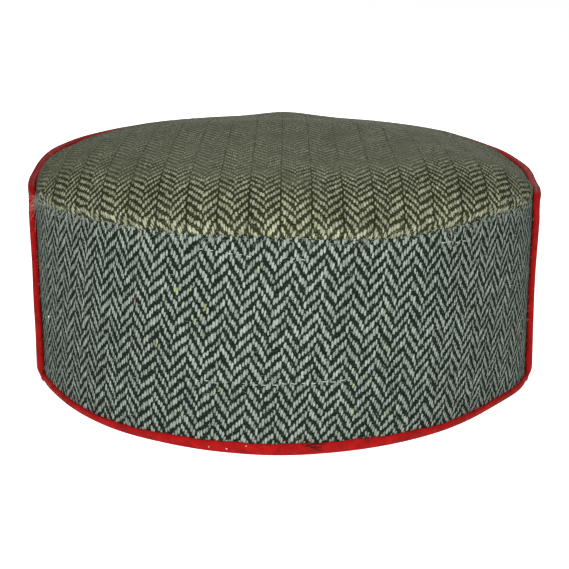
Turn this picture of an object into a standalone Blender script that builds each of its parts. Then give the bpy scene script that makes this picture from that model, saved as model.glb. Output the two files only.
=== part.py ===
"""Himachali cap of herringbone tweed, round, with a flap turned up round its front and red tape on its edges.

The cap stands on its rim with +Z up. Azimuth is measured in degrees round the cap: 0 is the back, at -Y,
90 is at +X, and 180 is the front, at +Y, where the flap stands against the wall.
"""

import math
from collections import namedtuple

import bmesh
import bpy

# Cloth, in metres
GAP = 0.0003            # space left between two pieces of cloth
WALL = 0.0016           # side wall, tweed on its stiffening
CROWN = 0.0012          # top of the cap
FLAP = 0.0014           # turned-up flap
TAPE = 0.00045          # red binding tape
BAND = 0.0040           # reach of the tape from the cloth's edge onto its face
TAPE_ROUND = 0.8        # rounding of the tape's folds, as a share of its thickness

# Plan and height of the wall, measured on its outer face, in metres
RIM_HALF_WIDTH = 0.0941
RIM_BACK_DEPTH = 0.0982
RIM_FRONT_DEPTH = 0.0905
SEAM_HALF_WIDTH = 0.0932
SEAM_BACK_DEPTH = 0.0937
SEAM_FRONT_DEPTH = 0.0850
SEAM_HEIGHT = 0.0674
BELLY = 0.0010          # how far the wall swells out halfway up
WALL_ROUND = 0.0007     # rounding of the wall's top corner, at the seam

# Crown, in metres
CROWN_SKIRT = 0.0004    # edge of the crown turned down below its cloth
CROWN_ROLL = 0.0013     # radius of the crown's rolled edge
CROWN_STEP = 0.0003     # groove between the crown's edge and the wall's face
LEAST_ROLL = 0.0001     # smallest rounding inside that edge
DOME = 0.0103           # rise of the crown's middle above its edge
BACK_FALL = 7.3         # how late the dome falls to its edge at the back, as a power of the reach
FRONT_FALL = 1.6        # and at the front
PUFF = 0.0018           # height of the soft bump at the front of the crown
PUFF_INSET = 0.014      # middle of that bump, in from the seam
PUFF_SPREAD = 0.0095    # how far the bump spreads from its middle

# Flap, in metres and degrees
FLAP_END = 66.0         # azimuth of each end of the flap
CORNER_ROOM = 0.0022    # rounding of the flap's top corners beyond the tape's reach
RIM_TUCK = 0.0047       # how far the wall draws in behind the flap at the rim
SEAM_TUCK = 0.0045      # and at the seam
TUCK_START = 55.0       # azimuth where the wall begins to draw in towards the flap
TUCK_SPAN = 30.0        # degrees over which it draws in

# How finely the cloth is cut up
TURN = 72               # columns round the whole cap
CORNER_CUTS = 6         # cuts round a corner of the flap
END_CUTS = 5            # cuts up the straight end of the flap
ROLL_ANGLES = (50.0, 25.0, 0.0)     # degrees round the crown's rolled edge
ROUND_MIDDLE = 0.3      # middle of a rounded corner, as a share of its radius in from both faces
SHARP_ANGLE = 40.0      # folds in the cloth sharper than this many degrees stay sharp

# The cloth's unevenness round the cap: how far the rim swells out, and how far the seam and the flap's top
# edge lift, as shares of SLACK
SLACK = 0.0021
Slack = namedtuple("Slack", "azimuth rim seam flap")
SLACKS = (
    Slack(-180, 0.0, 0.0, 0.3),
    Slack(-158, 0.0, 0.0, 0.25),
    Slack(-137, 0.0, 0.0, 0.6),
    Slack(-118, 0.0, 0.0, 0.6),
    Slack(-104, 0.0, -0.4, 0.4),
    Slack(-84, 0.0, -0.6, -0.6),
    Slack(-60, -0.15, -0.9, 0.0),
    Slack(-30, 0.8, 0.2, 0.0),
    Slack(-5, 0.35, 0.85, 0.0),
    Slack(20, -0.35, 0.1, 0.0),
    Slack(45, -0.8, 0.55, 0.0),
    Slack(64, 0.6, 0.0, 0.0),
    Slack(82, 0.0, -1.0, -0.6),
    Slack(97, 0.0, -1.1, -0.3),
    Slack(112, 0.0, -0.3, 0.1),
    Slack(130, 0.0, 0.0, 0.45),
    Slack(153, 0.0, 0.0, 0.25),
    Slack(180, 0.0, 0.0, 0.3),
)

# Rings of the crown from its middle outwards, as shares of its flat radius
CROWN_SHARES = (0.14, 0.34, 0.5, 0.64, 0.76, 0.85, 0.92, 0.97, 1.0)

# Courses of the wall from its foot to its seam, as shares of the height between them
WALL_SHARES = (0.0, 0.2, 0.4, 0.6, 0.8)

# Courses of the flap from its fold to its top edge, as shares of the height between them
FLAP_SHARES = (0.12, 0.34, 0.56, 0.78, 1.0)

# Colours of the plain cloths, linear red, green and blue, and how rough they are
WALL_COLOUR = (0.16, 0.19, 0.17)
CROWN_COLOUR = (0.2, 0.2, 0.14)
TAPE_COLOUR = (0.42, 0.012, 0.01)
TWEED_ROUGHNESS = 0.95
TAPE_ROUGHNESS = 0.8

# Sizes that follow from those above
FOOT = FLAP + GAP                               # the wall stands on the flap's fold
STANDOFF = GAP + TAPE + GAP                     # from the wall to the flap, with the tape between
TAPE_REACH = GAP + TAPE                         # the tape beyond the cloth that it covers
FLAP_TOP = SEAM_HEIGHT - TAPE_REACH             # the tape on the flap ends level with the seam
FLAP_CORNER = BAND + CORNER_ROOM
CROWN_EDGE = SEAM_HEIGHT + GAP                  # lowest edge of the crown
CROWN_TOP = CROWN_EDGE + CROWN + CROWN_SKIRT    # crown at its edge
TAPE_BEVEL = TAPE * TAPE_ROUND
FULL_TURN = 360.0
STRAIGHT = 180.0


def smooth(share):
    """Ease from 0 to 1 as share goes from 0 to 1."""
    share = min(max(share, 0.0), 1.0)
    return share * share * (3.0 - 2.0 * share)


def signed(azimuth):
    """The same azimuth between -180 and 180."""
    return (azimuth + STRAIGHT) % FULL_TURN - STRAIGHT


def oval(azimuth, half_width, back_depth, front_depth):
    """Radius of an oval plan, whose front half may be shallower than its back half."""
    angle = math.radians(azimuth)
    across = math.sin(angle)
    along = math.cos(angle)
    return 1.0 / math.hypot(across / half_width, along / (back_depth if along > 0.0 else front_depth))


def slack(azimuth):
    """Swell of the rim and lift of the seam and of the flap's top at an azimuth, eased between their rows."""
    azimuth = signed(azimuth)
    for low, high in zip(SLACKS, SLACKS[1:]):
        if low.azimuth <= azimuth <= high.azimuth:
            share = smooth((azimuth - low.azimuth) / (high.azimuth - low.azimuth))
            break
    return [SLACK * (start + (end - start) * share) for start, end in zip(low[1:], high[1:])]


def rim_swell(azimuth):
    return slack(azimuth)[0]


def seam_lift(azimuth):
    return slack(azimuth)[1]


def flap_lift(azimuth):
    return slack(azimuth)[2]


def wall_radius(azimuth, height):
    """Outer radius of the wall, which leans in towards its seam and draws in behind the flap."""
    tuck = smooth((abs(signed(azimuth)) - TUCK_START) / TUCK_SPAN)
    rim = oval(azimuth, RIM_HALF_WIDTH, RIM_BACK_DEPTH, RIM_FRONT_DEPTH)
    rim += rim_swell(azimuth) - RIM_TUCK * tuck
    seam = oval(azimuth, SEAM_HALF_WIDTH, SEAM_BACK_DEPTH, SEAM_FRONT_DEPTH) - SEAM_TUCK * tuck
    share = height / SEAM_HEIGHT
    return rim + (seam - rim) * share + BELLY * 4.0 * share * (1.0 - share)


def arc_degrees(length):
    """Degrees of azimuth that a length of the rim takes up."""
    return math.degrees(length / RIM_BACK_DEPTH)


def on_plan(azimuth, radius, height):
    angle = math.radians(azimuth)
    return (radius * math.sin(angle), -radius * math.cos(angle), height)


def join_rings(bm, rings, closed):
    """Skin a row of rings with quads; an open row is capped at both ends."""
    pairs = list(zip(rings, rings[1:]))
    if closed:
        pairs.append((rings[-1], rings[0]))
    for ring, after in pairs:
        count = len(ring)
        for i in range(count):
            k = (i + 1) % count
            bm.faces.new((ring[i], ring[k], after[k], after[i]))
    if not closed:
        bm.faces.new(rings[0])
        bm.faces.new(rings[-1][::-1])


def cloth(name, colour, roughness):
    """One plain cloth material."""
    material = bpy.data.materials.new(name)
    material.use_nodes = True
    shader = material.node_tree.nodes["Principled BSDF"]
    shader.inputs["Base Color"].default_value = (*colour, 1.0)
    shader.inputs["Roughness"].default_value = roughness
    shader.inputs["Metallic"].default_value = 0.0
    return material


def finish(name, bm, material, parent):
    """Turn a bmesh into a smooth-shaded object under the cap's empty."""
    bmesh.ops.recalc_face_normals(bm, faces=bm.faces)
    mesh = bpy.data.meshes.new(name)
    bm.to_mesh(mesh)
    bm.free()
    mesh.shade_smooth()
    mesh.set_sharp_from_angle(angle=math.radians(SHARP_ANGLE))
    mesh.materials.append(material)
    piece = bpy.data.objects.new(name, mesh)
    piece.parent = parent
    bpy.context.collection.objects.link(piece)
    return piece


def full_turn():
    return [FULL_TURN * i / TURN for i in range(TURN)]


def span(first, last):
    """Azimuths from first to last, about as close together as those of the whole turn."""
    count = max(2, round(TURN * (last - first) / FULL_TURN))
    return [first + (last - first) * i / count for i in range(count + 1)]


def side_wall(parent):
    """The round band of tweed, from its foot on the flap's fold and in the tape up to the crown's seam."""
    bm = bmesh.new()
    rings = []
    for azimuth in full_turn():
        top = SEAM_HEIGHT + seam_lift(azimuth)
        heights = [FOOT + (top - FOOT) * share for share in WALL_SHARES]
        outer = [(wall_radius(azimuth, z), z) for z in heights]
        outer.append((wall_radius(azimuth, top - WALL_ROUND), top - WALL_ROUND))
        middle = WALL_ROUND * ROUND_MIDDLE
        outer.append((wall_radius(azimuth, top) - middle, top - middle))
        outer.append((wall_radius(azimuth, top) - WALL_ROUND, top))
        inner = [(wall_radius(azimuth, z) - WALL, z) for z in [top] + heights[::-1]]
        rings.append([bm.verts.new(on_plan(azimuth, r, z)) for r, z in outer + inner])
    join_rings(bm, rings, closed=True)
    return finish("side_wall", bm, cloth("wall_tweed", WALL_COLOUR, TWEED_ROUGHNESS), parent)


def crown_edge(azimuth):
    """Radius of the crown's outer edge."""
    return wall_radius(azimuth, SEAM_HEIGHT) - CROWN_STEP


def crown_rise(azimuth, radius):
    """Height of the crown's upper face above its edge: a low dome, fuller at the back, and a soft bump."""
    x, y, _ = on_plan(azimuth, radius, 0.0)
    reach = radius / crown_edge(azimuth)
    fall = BACK_FALL + (FRONT_FALL - BACK_FALL) * smooth(0.5 + y / SEAM_BACK_DEPTH)
    puff_y = SEAM_FRONT_DEPTH - SEAM_TUCK - PUFF_INSET
    puff = math.exp(-(x * x + (y - puff_y) ** 2) / (2.0 * PUFF_SPREAD ** 2))
    return DOME * (1.0 - reach ** fall) + PUFF * puff


def crown_profile(azimuth):
    """Points of the crown's section from its middle over the roll to its lowest edge and back underneath."""
    roll = min(CROWN_ROLL, CROWN + CROWN_SKIRT)
    inner_roll = max(roll - CROWN, LEAST_ROLL)
    rise = seam_lift(azimuth)
    edge = crown_edge(azimuth)
    low = CROWN_EDGE + rise
    top = CROWN_TOP + rise
    flat = edge - roll
    under_flat = edge - CROWN - inner_roll
    over = []
    under = []
    for share in CROWN_SHARES:
        sag = rise * (1.0 - share * share)
        over.append((flat * share, top - sag + crown_rise(azimuth, flat * share)))
        under.append((under_flat * share, top - CROWN - sag + crown_rise(azimuth, under_flat * share)))
    drop = crown_rise(azimuth, flat)
    for degrees in ROLL_ANGLES:
        angle = math.radians(degrees)
        height = top - roll + (roll + drop) * math.sin(angle)
        over.append((flat + roll * math.cos(angle), height))
    over.append((edge, low))
    under.append((edge - CROWN, max(top - CROWN - inner_roll, (low + top - CROWN) / 2.0)))
    under.append((edge - CROWN, low))
    return over, under


def crown(parent):
    """The round top of the cap, a shallow lid that sits on the wall's top edge."""
    bm = bmesh.new()
    rings = []
    for azimuth in full_turn():
        over, under = crown_profile(azimuth)
        rings.append([bm.verts.new(on_plan(azimuth, r, z)) for r, z in over + under[::-1]])
    middle = CROWN_TOP + crown_rise(0.0, 0.0)
    top = bm.verts.new((0.0, 0.0, middle))
    bottom = bm.verts.new((0.0, 0.0, middle - CROWN))
    for ring, after in zip(rings, rings[1:] + rings[:1]):
        for i in range(len(ring) - 1):
            bm.faces.new((ring[i], ring[i + 1], after[i + 1], after[i]))
        bm.faces.new((top, ring[0], after[0]))
        bm.faces.new((bottom, after[-1], ring[-1]))
    return finish("crown", bm, cloth("crown_tweed", CROWN_COLOUR, TWEED_ROUGHNESS), parent)


def rim_binding(parent):
    """Red tape folded over the bottom edge of the back wall, flat where the cap stands on it."""
    bm = bmesh.new()
    last = FLAP_END - arc_degrees(TAPE_REACH + GAP)
    web = FOOT - GAP
    rings = []
    for azimuth in span(-last, last):
        section = (
            (TAPE_REACH, BAND),
            (TAPE_REACH, TAPE_BEVEL),
            (TAPE_REACH - TAPE_BEVEL, 0.0),
            (TAPE_BEVEL - TAPE_REACH - WALL, 0.0),
            (-WALL - TAPE_REACH, TAPE_BEVEL),
            (-WALL - TAPE_REACH, BAND),
            (-WALL - GAP, BAND),
            (-WALL - GAP, web),
            (GAP, web),
            (GAP, BAND),
        )
        points = [(wall_radius(azimuth, z) + offset, z) for offset, z in section]
        rings.append([bm.verts.new(on_plan(azimuth, r, z)) for r, z in points])
    join_rings(bm, rings, closed=False)
    return finish("rim_binding", bm, cloth("red_tape", TAPE_COLOUR, TAPE_ROUGHNESS), parent)


def corner_stations():
    """Places on the flap's top corner: distance from the flap's end, drop below its top, and the heading of
    the cloth from its edge, along the rim and downwards."""
    stations = []
    for i in range(CORNER_CUTS + 1):
        angle = math.radians(90.0 * i / CORNER_CUTS)
        across = math.cos(angle)
        down = math.sin(angle)
        stations.append((FLAP_CORNER * (1.0 - across), FLAP_CORNER * (1.0 - down), across, down))
    return stations


def flap_azimuths():
    """Where the flap's straight top begins and ends, in degrees."""
    return FLAP_END + arc_degrees(FLAP_CORNER), FULL_TURN - FLAP_END - arc_degrees(FLAP_CORNER)


def front_flap(parent):
    """The flap: a fold under the wall's foot, turned up outside the wall, with rounded top corners."""
    bm = bmesh.new()
    first, last = flap_azimuths()
    corner = corner_stations()
    columns = [(FLAP_END + arc_degrees(along), FLAP_TOP - drop) for along, drop, _, _ in corner[:-1]]
    columns += [(azimuth, FLAP_TOP) for azimuth in span(first, last)]
    columns += [(FULL_TURN - azimuth, top) for azimuth, top in columns[: len(corner) - 1][::-1]]
    rings = []
    for azimuth, top in columns:
        top += flap_lift(azimuth)
        up = [FLAP + (top - FLAP) * share for share in FLAP_SHARES]
        outer = STANDOFF + FLAP
        section = [(-WALL, FLAP), (-WALL, 0.0), (outer - FLAP, 0.0)]
        section += [(outer - FLAP * ROUND_MIDDLE, FLAP * ROUND_MIDDLE), (outer, FLAP)]
        section += [(outer, z) for z in up]
        section += [(STANDOFF, z) for z in up[::-1]]
        section += [(STANDOFF, FLAP)]
        points = [(wall_radius(azimuth, z) + offset, z) for offset, z in section]
        rings.append([bm.verts.new(on_plan(azimuth, r, z)) for r, z in points])
    join_rings(bm, rings, closed=False)
    return finish("front_flap", bm, cloth("flap_tweed", WALL_COLOUR, TWEED_ROUGHNESS), parent)


def flap_path():
    """The flap's edge from the foot of one end over the top to the foot of the other: azimuth, height, and
    the heading of the cloth from its edge, along the rim and downwards."""
    first, last = flap_azimuths()
    step = (FLAP_TOP - FLAP_CORNER - FOOT) / END_CUTS
    straight = [(FLAP_END, FOOT + step * i, 1.0, 0.0) for i in range(END_CUTS)]
    corner = [(FLAP_END + arc_degrees(along), FLAP_TOP - drop, across, down)
              for along, drop, across, down in corner_stations()]
    rise = straight + corner[:-1]
    level = [(azimuth, FLAP_TOP, 0.0, 1.0) for azimuth in span(first, last)]
    descent = [(FULL_TURN - azimuth, z, -across, down) for azimuth, z, across, down in rise[::-1]]
    return rise + level + descent


def flap_binding(parent):
    """Red tape folded over the flap's ends and top edge."""
    bm = bmesh.new()
    inner = GAP
    outer = STANDOFF + FLAP + TAPE_REACH
    section = (
        (BAND, inner),
        (TAPE_BEVEL - TAPE_REACH, inner),
        (-TAPE_REACH, inner + TAPE_BEVEL),
        (-TAPE_REACH, outer - TAPE_BEVEL),
        (TAPE_BEVEL - TAPE_REACH, outer),
        (BAND, outer),
        (BAND, outer - TAPE),
        (-GAP, outer - TAPE),
        (-GAP, inner + TAPE),
        (BAND, inner + TAPE),
    )
    rings = []
    for azimuth, height, across, down in flap_path():
        ring = []
        for reach, offset in section:
            place = azimuth + arc_degrees(reach * across)
            z = height - reach * down
            z += flap_lift(place) * z / FLAP_TOP
            ring.append(bm.verts.new(on_plan(place, wall_radius(place, z) + offset, z)))
        rings.append(ring)
    join_rings(bm, rings, closed=False)
    return finish("flap_binding", bm, cloth("red_tape_flap", TAPE_COLOUR, TAPE_ROUGHNESS), parent)


for old in list(bpy.data.objects):
    bpy.data.objects.remove(old, do_unlink=True)

back_reach = wall_radius(0.0, 0.0) + TAPE_REACH
front_reach = wall_radius(STRAIGHT, FLAP) + STANDOFF + FLAP
cap = bpy.data.objects.new("cap_plan", None)
cap.location = (0.0, (back_reach - front_reach) / 2.0, 0.0)
bpy.context.collection.objects.link(cap)

side_wall(cap)
crown(cap)
front_flap(cap)
rim_binding(cap)
flap_binding(cap)
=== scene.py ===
"""Himachali cap: herringbone tweed with a flap turned up round its front and red cotton tape on its edges."""

import math
from collections import namedtuple

import bmesh
import bpy
import numpy as np
from mathutils import Matrix, Vector


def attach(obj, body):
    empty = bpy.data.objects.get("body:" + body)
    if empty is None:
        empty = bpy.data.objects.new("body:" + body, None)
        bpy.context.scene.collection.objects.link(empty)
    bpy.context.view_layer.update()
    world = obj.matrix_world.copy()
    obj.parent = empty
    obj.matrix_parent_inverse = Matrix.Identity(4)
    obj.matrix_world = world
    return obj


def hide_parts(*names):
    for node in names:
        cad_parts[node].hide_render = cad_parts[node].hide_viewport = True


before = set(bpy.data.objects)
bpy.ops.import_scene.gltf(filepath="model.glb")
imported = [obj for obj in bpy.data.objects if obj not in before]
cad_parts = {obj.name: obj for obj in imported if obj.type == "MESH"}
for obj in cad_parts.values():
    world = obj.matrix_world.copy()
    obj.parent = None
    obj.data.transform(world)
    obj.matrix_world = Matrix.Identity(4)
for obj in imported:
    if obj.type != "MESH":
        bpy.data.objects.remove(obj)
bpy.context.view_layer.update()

# Side wall
# A round band of wool tweed on a stiffening, cut as a shallow fan and sewn to the crown round its top.
# Azimuth is in degrees round the cap: 0 at the back, which faces the camera, 90 at +X and 180 at the front.
GAP = 0.0003
WALL = 0.0016
FLAP = 0.0014
TAPE = 0.00045
RIM_HALF_WIDTH = 0.0941
RIM_BACK_DEPTH = 0.0982
RIM_FRONT_DEPTH = 0.0905
SEAM_HALF_WIDTH = 0.0932
SEAM_BACK_DEPTH = 0.0937
SEAM_FRONT_DEPTH = 0.0850
SEAM_HEIGHT = 0.0674
BELLY = 0.0010
WALL_ROUND = 0.0009
FLAP_END = 66.0
RIM_TUCK = 0.0047
SEAM_TUCK = 0.0045
TUCK_START = 55.0
TUCK_SPAN = 30.0
HOLLOW = 0.0022
HOLLOW_MIDDLE = 78.0
HOLLOW_SPAN = 24.0
HOLLOW_TOP = 0.058
FOOT = FLAP + GAP
STANDOFF = GAP + TAPE + GAP
TAPE_REACH = GAP + TAPE
SLACK = 0.0021
Slack = namedtuple("Slack", "azimuth rim seam flap")
SLACKS = (
    Slack(-180, 0.0, 0.0, 0.3),
    Slack(-158, 0.0, 0.0, 0.25),
    Slack(-137, 0.0, 0.0, 0.6),
    Slack(-118, 0.0, -0.4, 0.6),
    Slack(-104, 0.0, -1.0, 0.4),
    Slack(-84, -0.95, -1.1, -0.6),
    Slack(-60, 0.3, -0.9, 0.0),
    Slack(-30, 1.0, 0.2, 0.0),
    Slack(-5, 0.6, 0.85, 0.0),
    Slack(20, -0.1, 0.1, 0.0),
    Slack(45, -0.35, 0.55, 0.0),
    Slack(64, 1.0, 0.0, 0.0),
    Slack(82, -0.7, -1.4, -0.6),
    Slack(97, 0.0, -1.6, -0.3),
    Slack(112, 0.0, -0.7, 0.1),
    Slack(130, 0.0, 0.0, 0.45),
    Slack(153, 0.0, 0.0, 0.25),
    Slack(180, 0.0, 0.0, 0.3),
)

# Soft dents in the stiffened wall: turns round the cap, turns up its height, share of the depth and start
DENT = 0.00035
Dent = namedtuple("Dent", "turns rise share start")
DENTS = (
    Dent(5, 30.0, 0.45, 0.4),
    Dent(9, -55.0, 0.3, 2.1),
    Dent(14, 80.0, 0.2, 4.0),
    Dent(23, 20.0, 0.12, 1.3),
)


def smooth(share):
    share = np.clip(share, 0.0, 1.0)
    return share * share * (3.0 - 2.0 * share)


def slack(azimuth, column):
    """Swell or lift of the cloth at an azimuth, eased between the rows of SLACKS."""
    azimuth = (np.asarray(azimuth, float) + 180.0) % 360.0 - 180.0
    rows = np.array([row.azimuth for row in SLACKS], float)
    values = np.array([getattr(row, column) for row in SLACKS])
    after = np.clip(np.searchsorted(rows, azimuth), 1, len(rows) - 1)
    share = smooth((azimuth - rows[after - 1]) / (rows[after] - rows[after - 1]))
    return SLACK * (values[after - 1] + (values[after] - values[after - 1]) * share)


def oval(azimuth, half_width, back_depth, front_depth):
    angle = np.radians(azimuth)
    depth = np.where(np.cos(angle) > 0.0, back_depth, front_depth)
    return 1.0 / np.hypot(np.sin(angle) / half_width, np.cos(angle) / depth)


def dents(azimuth, height):
    angle = np.radians(azimuth)
    return DENT * sum(
        dent.share * np.sin(dent.turns * angle + dent.rise * height + dent.start) for dent in DENTS
    )


def wall_radius(azimuth, height):
    """Outer radius of the wall, leaning in to its seam, drawn in behind the flap and sagging at its sides."""
    turned = abs((np.asarray(azimuth, float) + 180.0) % 360.0 - 180.0)
    tuck = smooth((turned - TUCK_START) / TUCK_SPAN)
    rim = oval(azimuth, RIM_HALF_WIDTH, RIM_BACK_DEPTH, RIM_FRONT_DEPTH)
    rim = rim + slack(azimuth, "rim") - RIM_TUCK * tuck
    seam = oval(azimuth, SEAM_HALF_WIDTH, SEAM_BACK_DEPTH, SEAM_FRONT_DEPTH) - SEAM_TUCK * tuck
    share = height / SEAM_HEIGHT
    belt = np.sin(np.pi * np.clip(height / HOLLOW_TOP, 0.0, 1.0))
    hollow = HOLLOW * belt * smooth(1.0 - abs(turned - HOLLOW_MIDDLE) / HOLLOW_SPAN)
    return rim + (seam - rim) * share + BELLY * 4.0 * share * (1.0 - share) + dents(azimuth, height) - hollow


PLAN_SHIFT = float(
    wall_radius(0.0, 0.0) + TAPE_REACH - wall_radius(180.0, FLAP) - STANDOFF - FLAP
) / 2.0


def on_plan(azimuth, radius, height):
    """World place of points given by azimuth, radius and height."""
    angle = np.radians(azimuth)
    x = radius * np.sin(angle)
    y = PLAN_SHIFT - radius * np.cos(angle)
    return np.stack(np.broadcast_arrays(x, y, height), -1)


GIRTH_STEPS = np.arange(-200.0, 561.0, 1.0)
GIRTH_LENGTHS = np.cumsum(wall_radius(GIRTH_STEPS - 0.5, SEAM_HEIGHT / 2.0)) * math.radians(1.0)
GIRTH_LENGTHS -= np.interp(0.0, GIRTH_STEPS, GIRTH_LENGTHS)


def girth(azimuth):
    """Length round the wall from the middle of the back."""
    return np.interp(azimuth, GIRTH_STEPS, GIRTH_LENGTHS)


FAN_RADIUS = 3.0
WALL_LAY = 5.5
WALL_START = 0.0076

# How far the cloth was drawn along round the wall as it was sewn, in runs of its herringbone
Draw = namedtuple("Draw", "azimuth runs")
DRAWS = (
    Draw(-180, 0.0),
    Draw(-75, -1.1),
    Draw(-58, -0.65),
    Draw(-49, -0.34),
    Draw(-44, -0.14),
    Draw(-39, 0.02),
    Draw(-28, 0.14),
    Draw(-12, 0.0),
    Draw(8, 0.02),
    Draw(30, -0.06),
    Draw(40, 0.1),
    Draw(50, 0.47),
    Draw(60, 0.95),
    Draw(75, 1.4),
    Draw(180, 0.0),
)
END = 0.00079
PICK = 0.000995
RUN = 12
SEAM_PUCKER = 0.00045
PUCKER_DEPTH = 0.0045


def pucker(azimuth, start):
    """Uneven gathering along the seam, from -1 to 1."""
    angle = np.radians(azimuth)
    return (
        0.4 * np.sin(97.0 * angle + start)
        + 0.35 * np.sin(161.0 * angle + 2.0 * start + 1.0)
        + 0.25 * np.sin(53.0 * angle - start)
    )


def on_wall_cloth(azimuth, height):
    """Place on the flat cloth: the band was cut as a shallow fan, laid a little askew on the weave."""
    turn = girth(azimuth) / FAN_RADIUS
    reach = FAN_RADIUS - height
    across = reach * np.sin(turn)
    up = FAN_RADIUS - reach * np.cos(turn)
    lay = math.radians(WALL_LAY)
    u = across * math.cos(lay) - up * math.sin(lay) + WALL_START
    v = across * math.sin(lay) + up * math.cos(lay)
    drawn = np.interp((azimuth + 180.0) % 360.0 - 180.0, [d.azimuth for d in DRAWS], [d.runs for d in DRAWS])
    near_seam = smooth((abs(height) - SEAM_HEIGHT) / PUCKER_DEPTH + 1.0)
    u = u + drawn * RUN * END + near_seam * SEAM_PUCKER * pucker(azimuth, 0.3)
    v = v + near_seam * SEAM_PUCKER * pucker(azimuth, 2.2)
    return np.stack(np.broadcast_arrays(u, v), -1)


def skin(name, grid, flat, capped):
    """Mesh over a grid of sections, with each point's place on the flat cloth as its UV map."""
    stations, points = grid.shape[:2]
    index = np.arange(stations * points).reshape(stations, points)
    quads = np.stack([index[:-1, :-1], index[:-1, 1:], index[1:, 1:], index[1:, :-1]], -1)
    faces = quads.reshape(-1, 4).tolist()
    if capped:
        faces += [index[0, :-1].tolist(), index[-1, :-1].tolist()[::-1]]
    mesh = bpy.data.meshes.new(name)
    mesh.from_pydata(grid.reshape(-1, 3).tolist(), [], faces)
    corners = np.empty(len(mesh.loops), np.int32)
    mesh.loops.foreach_get("vertex_index", corners)
    layer = mesh.uv_layers.new(name="cloth")
    layer.data.foreach_set("uv", flat.reshape(-1, 2)[corners].astype(np.float32).ravel())
    bm = bmesh.new()
    bm.from_mesh(mesh)
    bmesh.ops.remove_doubles(bm, verts=bm.verts, dist=0.000002)
    bmesh.ops.recalc_face_normals(bm, faces=bm.faces)
    bm.to_mesh(mesh)
    bm.free()
    mesh.shade_smooth()
    piece = bpy.data.objects.new(name, mesh)
    bpy.context.collection.objects.link(piece)
    return piece


def display(red, green, blue):
    """A colour given as it shows on screen, from 0 to 255, made linear."""
    shares = [value / 255.0 for value in (red, green, blue)]
    return tuple([s / 12.92 if s <= 0.04045 else ((s + 0.055) / 1.055) ** 2.4 for s in shares] + [1.0])


def calculator(tree):
    """A short way to write a sum as Math nodes."""
    def calc(kind, *values):
        node = tree.nodes.new("ShaderNodeMath")
        node.operation = kind
        for socket, value in zip(node.inputs, values):
            if isinstance(value, (int, float)):
                socket.default_value = value
            else:
                tree.links.new(value, socket)
        return node.outputs[0]
    return calc


def blotches(tree, vector, scale, detail=2.0, roughness=0.5):
    """Soft noise from 0 to 1."""
    node = tree.nodes.new("ShaderNodeTexNoise")
    tree.links.new(vector, node.inputs["Vector"])
    node.inputs["Scale"].default_value = scale
    node.inputs["Detail"].default_value = detail
    node.inputs["Roughness"].default_value = roughness
    return node.outputs[0]


def chance(tree, across, along, seed):
    """A fixed random value from 0 to 1 for each pair of whole numbers."""
    place = tree.nodes.new("ShaderNodeCombineXYZ")
    tree.links.new(across, place.inputs[0])
    tree.links.new(along, place.inputs[1])
    place.inputs[2].default_value = seed
    node = tree.nodes.new("ShaderNodeTexWhiteNoise")
    node.noise_dimensions = "3D"
    tree.links.new(place.outputs[0], node.inputs["Vector"])
    return node.outputs["Value"]


def blend(tree, share, low, high):
    """A colour between two others."""
    node = tree.nodes.new("ShaderNodeMix")
    node.data_type = "RGBA"
    for name, value in (("Factor", share), ("A", low), ("B", high)):
        socket = next(s for s in node.inputs if s.name == name and s.enabled)
        if isinstance(value, (int, float, tuple)):
            socket.default_value = value
        else:
            tree.links.new(value, socket)
    return next(s for s in node.outputs if s.enabled)


def ramp(tree, value, low, high):
    """Eases from 0 to 1 as a value goes from low to high."""
    node = tree.nodes.new("ShaderNodeMapRange")
    node.interpolation_type = "SMOOTHSTEP"
    tree.links.new(value, node.inputs["Value"])
    node.inputs["From Min"].default_value = low
    node.inputs["From Max"].default_value = high
    return node.outputs["Result"]


# The tweed is a broken herringbone: pale warp ends that each pass over two dark picks and under two, six ends
# climbing one way and six the other. Ends and picks are the spacing of the yarns in metres.
FLOAT_WIDTH = 0.51
FLOAT_LENGTH = 1.05


def yarn_place(tree, calc, place):
    """Ends across and picks along, counted from the cloth's origin and pushed about by uneven yarns."""
    split = tree.nodes.new("ShaderNodeSeparateXYZ")
    tree.links.new(place, split.inputs[0])
    sway = calc("MULTIPLY", calc("SUBTRACT", blotches(tree, place, 230.0, 3.0), 0.5), 1.5)
    beat = calc("MULTIPLY", calc("SUBTRACT", blotches(tree, place, 310.0, 3.0, 0.6), 0.5), 2.1)
    across = calc("ADD", calc("DIVIDE", split.outputs[0], END), sway)
    along = calc("ADD", calc("DIVIDE", split.outputs[1], PICK), beat)
    return across, along


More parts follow.
